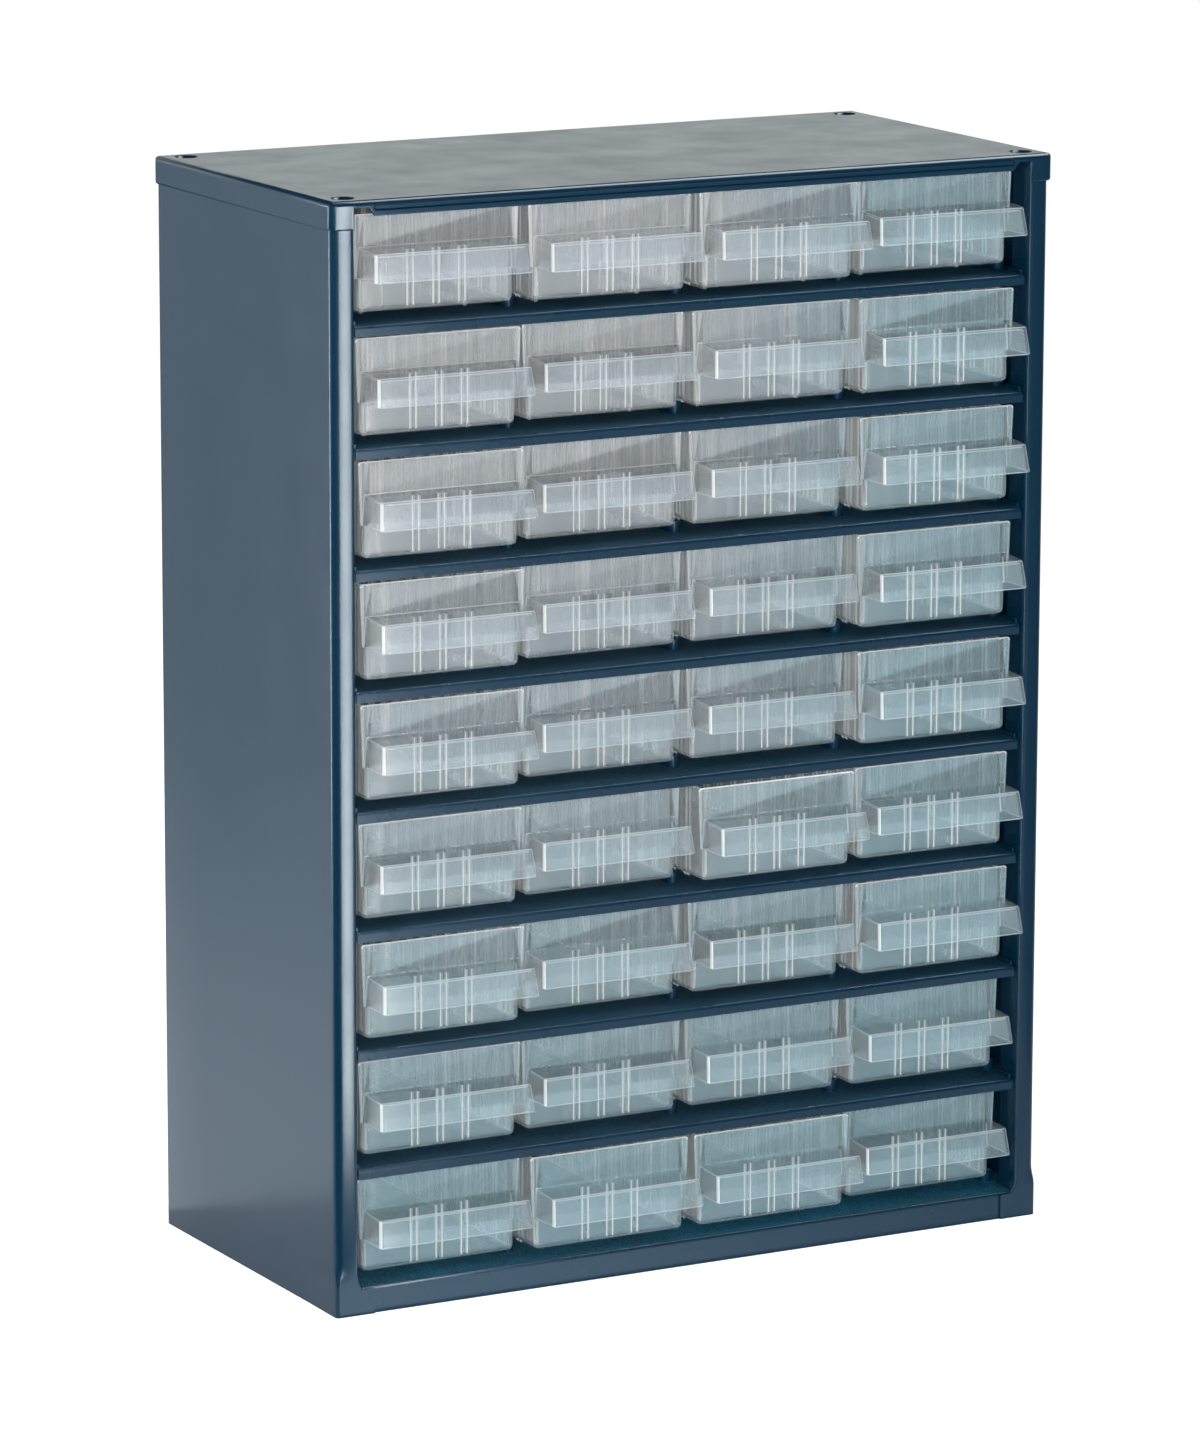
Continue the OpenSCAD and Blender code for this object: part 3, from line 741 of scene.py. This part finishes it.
rivet_heads = rivet_heads_tree()
rivet_sizes = {"Head Width": rivet_head_d, "Head Height": rivet_head_h, "Pin Width": rivet_pin_d}
for name in ("back_rivets", "cover_rivets"):
    seats = [((low.x + high.x) / 2, high.y - rivet_head_h, (low.z + high.z) / 2)
             for low, high in solid_places(nodes[name])]
    mesh = grown(name + "_seats", rivet_heads, rivet_sizes, seats)
    for face in mesh.polygons:
        face.use_smooth = True
    heads = link(bpy.data.objects.new(name.replace("rivets", "rivet_heads"), mesh))
    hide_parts(name)
    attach(heads, "case")

# ---------------------------------------------------------------- drawers
# Clear boxes moulded in one piece from a slightly milky plastic: a wide upper front, a hooked
# handle, three pairs of ribs, pairs of guides for dividers inside and two runners underneath.

drawer_low, drawer_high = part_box("drawer_row1_1")
wall = 0.0012
runner_w = 0.0016
runner_h = 0.0032
runner_setback = 0.018
handle_reach = 0.0135
lip_lean = 0.0019
ear_w = 0.002
ear_taper = 0.0009
side_drop = 0.0006
front_w = round(drawer_high.x - drawer_low.x, 5)
body_w = front_w - 2 * ear_w
body_d = round(drawer_high.y - drawer_low.y - handle_reach - lip_lean, 6)
body_h = round(drawer_high.z - drawer_low.z - runner_h, 6)
body_side_h = body_h - side_drop
body_r = 0.0024
ledge_z = body_h - 0.0121
handle_foot_z = ledge_z - 0.0114
nose_drop = 0.0009
handle_foot_w = 0.065
handle_taper = 0.0009
handle_r = 0.0013
front_corner_r = 0.0012
rib_pair_count = 3
rib_pair_pitch = 0.0106
rib_pitch = 0.0025
rib_w = 0.0010
rib_proud = 0.0007
rib_foot = 0.0016
guide_w = 0.0008
guide_proud = 0.0004
guide_start = 0.014
guide_count = 11
edge_r = 0.00035
seam = edge_r / 8
BODY_STEPS = 4
HANDLE_STEPS = 5
BOX_FACES = ((0, 3, 2, 1), (4, 5, 6, 7), (0, 1, 5, 4), (1, 2, 6, 5), (2, 3, 7, 6), (3, 0, 4, 7))
FACING_START = 0.6
FACING_FULL = 0.9
STREAK_WANDER = 1.5


def facing_and_streaks_group():
    """How far a clear wall faces sideways or up, the sideways share being where painted light goes, and
    its upright streaks.
    """
    group, given, result = new_group(
        "facing_and_streaks", [("Streak Spacing", "NodeSocketFloat", 0.002)],
        [("Side", "NodeSocketFloat"), ("Level", "NodeSocketFloat"), ("Streaks", "NodeSocketFloat")])
    place = node(group, "ShaderNodeTexCoord")
    facing = node(group, "ShaderNodeSeparateXYZ")
    join(group, place.outputs["Normal"], facing.inputs[0])
    for label, axis in (("Side", "X"), ("Level", "Z")):
        share = node(group, "ShaderNodeMath", operation="ABSOLUTE")
        join(group, facing.outputs[axis], share.inputs[0])
        made = node(group, "ShaderNodeMapRange", interpolation_type="SMOOTHSTEP",
                    From_Min=FACING_START, From_Max=FACING_FULL)
        join(group, share.outputs[0], made.inputs["Value"])
        join(group, made.outputs["Result"], result.inputs[label])
    spot = node(group, "ShaderNodeSeparateXYZ")
    join(group, place.outputs["Object"], spot.inputs[0])
    along = math_node(group, "ADD", spot.outputs["X"], spot.outputs["Y"])
    at = node(group, "ShaderNodeCombineXYZ")
    join(group, math_node(group, "DIVIDE", along, given.outputs["Streak Spacing"]), at.inputs["X"])
    join(group, math_node(group, "MULTIPLY", spot.outputs["Z"], STREAK_WANDER), at.inputs["Y"])
    streaks = noise(group, at.outputs[0], 1.0, detail=1.0, low=0.40, high=0.76, dimensions="2D")
    kept = node(group, "ShaderNodeClamp")
    join(group, streaks, kept.inputs[0])
    join(group, kept.outputs[0], result.inputs["Streaks"])
    return group


facing_and_streaks = facing_and_streaks_group()


def blend_colour(tree, factor, first, second):
    """Mixes two colours (sockets or linear RGB) by a socket."""
    made = node(tree, "ShaderNodeMix", data_type="RGBA")
    join(tree, factor, made.inputs[0])
    for socket, value in ((made.inputs[6], first), (made.inputs[7], second)):
        if isinstance(value, tuple):
            socket.default_value = (*value, 1)
        else:
            join(tree, value, socket)
    return made.outputs[2]


PLASTIC_ROUGHNESS = 0.22
STREAK_SPACING = 0.0030
TOP_ROWS_Z = 0.32
RIGHT_COLUMN_X = 0.10
RIGHT_COLUMN_SHARE = 0.2
# Painted light: the low, high and handle tints and veils change with a drawer's place in the cabinet.
LOW_PAINTED_LIGHT_TINTS = ((0.46, 0.72, 0.82), (0.58, 0.82, 0.90))
HIGH_PAINTED_LIGHT_TINTS = ((0.70, 0.75, 0.78), (0.88, 0.89, 0.90))
HANDLE_PAINTED_LIGHT_TINTS = ((0.46, 0.65, 0.735), (0.58, 0.67, 0.735))
# Painted light: sideways walls are creamier and more veiled than front ones.
SIDE_PAINTED_LIGHT_TINTS = ((0.58, 0.62, 0.63), (0.88, 0.89, 0.87))
# Painted highlights: the edge tint and veil whiten the marked edges.
EDGE_HIGHLIGHT_TINT = (0.94, 0.94, 0.92)
LOW_PAINTED_LIGHT_VEILS = (0.20, 0.235)
HIGH_PAINTED_LIGHT_VEILS = (0.25, 0.32)
SIDE_PAINTED_LIGHT_VEILS = (0.34, 0.58)
HANDLE_VEIL = 0.165
HANDLE_SIDE_VEIL = 0.16
LEVEL_VEIL = 0.10
EDGE_HIGHLIGHT_VEIL = 0.9
SHADOW_SHARE = 0.3


def milky_plastic(name):
    """Clear plastic under a milky veil, with painted light: bluer low down and to the right, lighter on
    sideways walls, and with painted highlights on its edges.

    The pairs of tints and veils are for the plastic beside an upright streak and in one; only the
    handle's pair is for the lowest row and the top one.
    """
    made = bpy.data.materials.new(name)
    made.use_nodes = True
    tree = made.node_tree
    shade = tree.nodes["Principled BSDF"]
    shade.inputs["Roughness"].default_value = PLASTIC_ROUGHNESS
    marks = node(tree, "ShaderNodeGroup", node_tree=facing_and_streaks, Streak_Spacing=STREAK_SPACING)
    edge = node(tree, "ShaderNodeAttribute", attribute_name="edge").outputs["Fac"]
    handle = node(tree, "ShaderNodeAttribute", attribute_name="handle").outputs["Fac"]
    side, level, streaks = (marks.outputs[label] for label in ("Side", "Level", "Streaks"))
    spot = node(tree, "ShaderNodeSeparateXYZ")
    join(tree, node(tree, "ShaderNodeTexCoord").outputs["Object"], spot.inputs[0])
    # Painted light by the drawer's place: the top rows and left columns are greyer and more veiled, the
    # low rows and right column bluer and clearer.
    above = node(tree, "ShaderNodeMapRange", From_Min=0.0, From_Max=TOP_ROWS_Z)
    join(tree, spot.outputs["Z"], above.inputs["Value"])
    to_left = node(tree, "ShaderNodeMapRange", From_Min=0.0, From_Max=RIGHT_COLUMN_X,
                   To_Min=1.0, To_Max=RIGHT_COLUMN_SHARE)
    join(tree, spot.outputs["X"], to_left.inputs["Value"])
    high = math_node(tree, "MULTIPLY", above.outputs["Result"], to_left.outputs["Result"])
    low_tint = blend_colour(tree, streaks, *LOW_PAINTED_LIGHT_TINTS)
    high_tint = blend_colour(tree, streaks, *HIGH_PAINTED_LIGHT_TINTS)
    body_tint = blend_colour(tree, high, low_tint, high_tint)
    handle_tint = blend_colour(tree, high, *HANDLE_PAINTED_LIGHT_TINTS)
    # The handle attribute also gives the front below the handle part of the handle's darker look: painted
    # shade.
    front_tint = blend_colour(tree, handle, body_tint, handle_tint)
    # Sideways walls take the side tint and veil: painted light coming through the side walls.
    side_tint = blend_colour(tree, streaks, *SIDE_PAINTED_LIGHT_TINTS)
    wall_tint = blend_colour(tree, side, front_tint, side_tint)
    # The edge attribute lays on the painted highlights.
    join(tree, blend_colour(tree, edge, wall_tint, EDGE_HIGHLIGHT_TINT), shade.inputs["Base Color"])
    low_veil = blend_value(tree, streaks, *LOW_PAINTED_LIGHT_VEILS)
    high_veil = blend_value(tree, streaks, *HIGH_PAINTED_LIGHT_VEILS)
    body_veil = blend_value(tree, high, low_veil, high_veil)
    front_veil = blend_value(tree, handle, body_veil, HANDLE_VEIL)
    side_veil = blend_value(tree, handle, blend_value(tree, streaks, *SIDE_PAINTED_LIGHT_VEILS), HANDLE_SIDE_VEIL)
    wall_veil = blend_value(tree, level, blend_value(tree, side, front_veil, side_veil), LEVEL_VEIL)
    veil = blend_value(tree, edge, wall_veil, EDGE_HIGHLIGHT_VEIL)
    path = node(tree, "ShaderNodeLightPath")
    shadow = blend_value(tree, path.outputs["Is Shadow Ray"], 1.0, SHADOW_SHARE)
    join(tree, math_node(tree, "MULTIPLY", veil, shadow), shade.inputs["Alpha"])
    return made


clear_plastic = milky_plastic("clear_plastic")


def rib_pairs_tree():
    """Pairs of upright ribs in a row: Start is the first pair's middle, Step leads to the next pair."""
    tree, given, result = new_tree("rib_pairs", [
        ("Start", "NodeSocketVector", (0, 0, 0)), ("Step", "NodeSocketVector", (0.01, 0, 0)),
        ("Pair Step", "NodeSocketVector", (0.0025, 0, 0)),
        ("Rib Size", "NodeSocketVector", (0.001, 0.001, 0.02)), ("Count", "NodeSocketInt", 3)])
    rib = node(tree, "GeometryNodeMeshCube")
    join(tree, given.outputs["Rib Size"], rib.inputs["Size"])
    back_half = node(tree, "ShaderNodeVectorMath", operation="SCALE", Scale=-0.5)
    join(tree, given.outputs["Pair Step"], back_half.inputs[0])
    pair = node(tree, "GeometryNodeMeshLine", Count=2)
    join(tree, back_half.outputs["Vector"], pair.inputs["Start Location"])
    join(tree, given.outputs["Pair Step"], pair.inputs["Offset"])
    two_ribs = node(tree, "GeometryNodeInstanceOnPoints")
    join(tree, pair.outputs[0], two_ribs.inputs["Points"])
    join(tree, rib.outputs["Mesh"], two_ribs.inputs["Instance"])
    row = node(tree, "GeometryNodeMeshLine")
    join(tree, given.outputs["Count"], row.inputs["Count"])
    join(tree, given.outputs["Start"], row.inputs["Start Location"])
    join(tree, given.outputs["Step"], row.inputs["Offset"])
    pairs = node(tree, "GeometryNodeInstanceOnPoints")
    join(tree, row.outputs[0], pairs.inputs["Points"])
    join(tree, two_ribs.outputs[0], pairs.inputs["Instance"])
    finish_tree(tree, result, pairs.outputs[0], clear_plastic)
    return tree


rib_pairs = rib_pairs_tree()


def rib_row(name, start, step, pair_step, size, count):
    """A row of rib pairs as an object; start is the middle of the first pair."""
    mesh = grown(name, rib_pairs, {"Start": start, "Step": step, "Pair Step": pair_step,
                                   "Rib Size": size, "Count": count})
    return link(bpy.data.objects.new(name, mesh))


def round_chosen(bm, chosen, radius, segments):
    """Rounds the edges whose two ends pass the test."""
    round_off(bm, [e for e in bm.edges if chosen(e.verts[0].co, e.verts[1].co)], radius, segments)


def block_skin(points):
    """The six faces of a block, from its eight corners."""
    bm = bmesh.new()
    verts = [bm.verts.new(p) for p in points]
    for face in BOX_FACES:
        bm.faces.new([verts[i] for i in face])
    return bm


def open_box(name, points, chosen, radius, segments, gone):
    """A hollow box with round edges: points are its eight corners, gone says which faces are open."""
    bm = block_skin(points)
    bmesh.ops.recalc_face_normals(bm, faces=bm.faces)
    open_faces = [f for f in bm.faces if gone(f.calc_center_median())]
    bmesh.ops.delete(bm, geom=open_faces, context="FACES_ONLY")
    round_chosen(bm, chosen, radius, segments)
    made = mesh_object(name, bm)
    shell = made.modifiers.new("shell", "SOLIDIFY")
    shell.thickness = wall
    shell.offset = -1
    shell.use_even_offset = True
    return made


def corners(x0, x1, y0, y1, z0, z1):
    """The eight corners of an upright block, the lower four first."""
    return [(x, y, z) for z in (z0, z1) for x, y in ((x0, y0), (x1, y0), (x1, y1), (x0, y1))]


half_w = body_w / 2
trough = open_box("trough", corners(-half_w, half_w, 0, body_d, 0, body_side_h),
                  lambda a, b: min(a.z, b.z) <= body_side_h / 2, body_r, BODY_STEPS,
                  lambda c: c.z > body_side_h - MERGE)

wide = front_w / 2
narrow = wide - ear_taper
bm = bmesh.new()
outline = [(-narrow, handle_foot_z), (narrow, handle_foot_z), (wide, body_h), (-wide, body_h)]
plate_front = [bm.verts.new((x, 0, z)) for x, z in outline]
plate_back = [bm.verts.new((x, wall, z)) for x, z in outline]
bm.faces.new(plate_front)
bm.faces.new(plate_back[::-1])
for i in range(4):
    j = (i + 1) % 4
    bm.faces.new([plate_front[j], plate_front[i], plate_back[i], plate_back[j]])
round_chosen(bm, lambda a, b: min(a.z, b.z) > body_h - MERGE and abs(a.x - b.x) < MERGE,
             front_corner_r, BODY_STEPS)
upper_front = mesh_object("upper_front", bm)

foot_half = handle_foot_w / 2
top_half = foot_half - handle_taper
inside = wall / 2
lip_y = -handle_reach - lip_lean
hood = open_box(
    "hood",
    [(-foot_half, lip_y, handle_foot_z), (foot_half, lip_y, handle_foot_z),
     (foot_half, inside, handle_foot_z), (-foot_half, inside, handle_foot_z),
     (-top_half, -handle_reach, ledge_z - nose_drop), (top_half, -handle_reach, ledge_z - nose_drop),
     (top_half, inside, ledge_z), (-top_half, inside, ledge_z)],
    lambda a, b: max(a.y, b.y) < -handle_reach / 2 and abs(a.z - b.z) > wall, handle_r, HANDLE_STEPS,
    lambda c: c.z < handle_foot_z + MERGE or c.y > inside - MERGE)

rib_h = ledge_z - wall / 2 - rib_foot
front_ribs = rib_row("front_ribs", (-rib_pair_pitch, (inside - rib_proud) / 2, rib_foot + rib_h / 2),
                     (rib_pair_pitch, 0, 0), (rib_pitch, 0, 0), (rib_w, inside + rib_proud, rib_h),
                     rib_pair_count)
guide_x = half_w - wall + (inside - guide_proud) / 2
guide_h = body_side_h - wall - rib_foot / 2
guides = [rib_row("guides", (side * guide_x, guide_start, wall / 2 + guide_h / 2), (0, rib_pair_pitch, 0),
                  (0, rib_pitch, 0), (inside + guide_proud, guide_w, guide_h), guide_count)
          for side in (-1, 1)]
runner_x = body_w / 3
runners = [mesh_object("runner", block_skin(corners(
    side * runner_x - runner_w / 2, side * runner_x + runner_w / 2, runner_setback, body_d - body_r,
    -runner_h, inside))) for side in (-1, 1)]
added = [upper_front, hood, front_ribs, *guides, *runners]

for part in added:
    union = trough.modifiers.new("union", "BOOLEAN")
    union.operation = "UNION"
    union.solver = "EXACT"
    union.object = part
weld = trough.modifiers.new("weld", "WELD")
weld.merge_threshold = seam
soft_edges = trough.modifiers.new("soft_edges", "BEVEL")
soft_edges.use_clamp_overlap = False
soft_edges.width = edge_r
soft_edges.segments = 1
soft_edges.limit_method = "ANGLE"
soft_edges.angle_limit = FOLD_ANGLE
drawer_mesh = settled(trough, "drawer")
for part in added:
    bpy.data.objects.remove(part)
for face in drawer_mesh.polygons:
    face.use_smooth = True
drawer_mesh.set_sharp_from_angle(angle=SHARP_ANGLE)
drawer_mesh.materials.clear()
drawer_mesh.materials.append(clear_plastic)

# Painted highlights on the edge attribute: bevels, the handle, its left upright corners, the ribs and the
# top edge are whiter and more opaque.
SLANTED = 0.95
UPRIGHT = 0.2
SLANT_HIGHLIGHT = 0.16
HANDLE_HIGHLIGHT = 0.30
HANDLE_CORNER_HIGHLIGHT = 0.65
RIB_HIGHLIGHT = 0.65
TOP_EDGE_HIGHLIGHT = 0.80
# Painted shade: the front below the handle takes this share of the handle's look.
UNDER_HANDLE_SHADE_SHARE = 0.6
edge_highlights = drawer_mesh.attributes.new("edge", "FLOAT", "FACE")
handle_and_shade_marks = drawer_mesh.attributes.new("handle", "FLOAT", "FACE")
for face in drawer_mesh.polygons:
    slanted = max(abs(c) for c in face.normal) < SLANTED
    in_handle = face.center.y < -wall / 4
    upright = abs(face.normal.z) < UPRIGHT
    at_top = face.center.z > body_side_h - wall
    at_left = face.center.x < -handle_foot_w / 2 + handle_r
    in_rib = in_handle and abs(face.center.x) < 1.5 * rib_pair_pitch
    painted_shade_under_handle = face.center.z < handle_foot_z and face.center.y < 1.5 * wall
    highlight = SLANT_HIGHLIGHT
    if in_handle:
        highlight = HANDLE_HIGHLIGHT
    if in_handle and upright and at_left:
        highlight = HANDLE_CORNER_HIGHLIGHT
    if in_rib and upright:
        highlight = RIB_HIGHLIGHT
    if at_top:
        highlight = TOP_EDGE_HIGHLIGHT
    edge_highlights.data[face.index].value = slanted * highlight
    handle_and_shade_marks.data[face.index].value = 1.0 if in_handle else UNDER_HANDLE_SHADE_SHARE * painted_shade_under_handle

for name in nodes:
    if not name.startswith("drawer_"):
        continue
    low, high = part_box(name)
    mesh = drawer_mesh.copy()
    mesh.transform(Matrix.Translation(((low.x + high.x) / 2, high.y - body_d, high.z - body_h)))
    made = link(bpy.data.objects.new(name.replace("drawer", "bin"), mesh))
    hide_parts(name)
    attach(made, name + "_body")
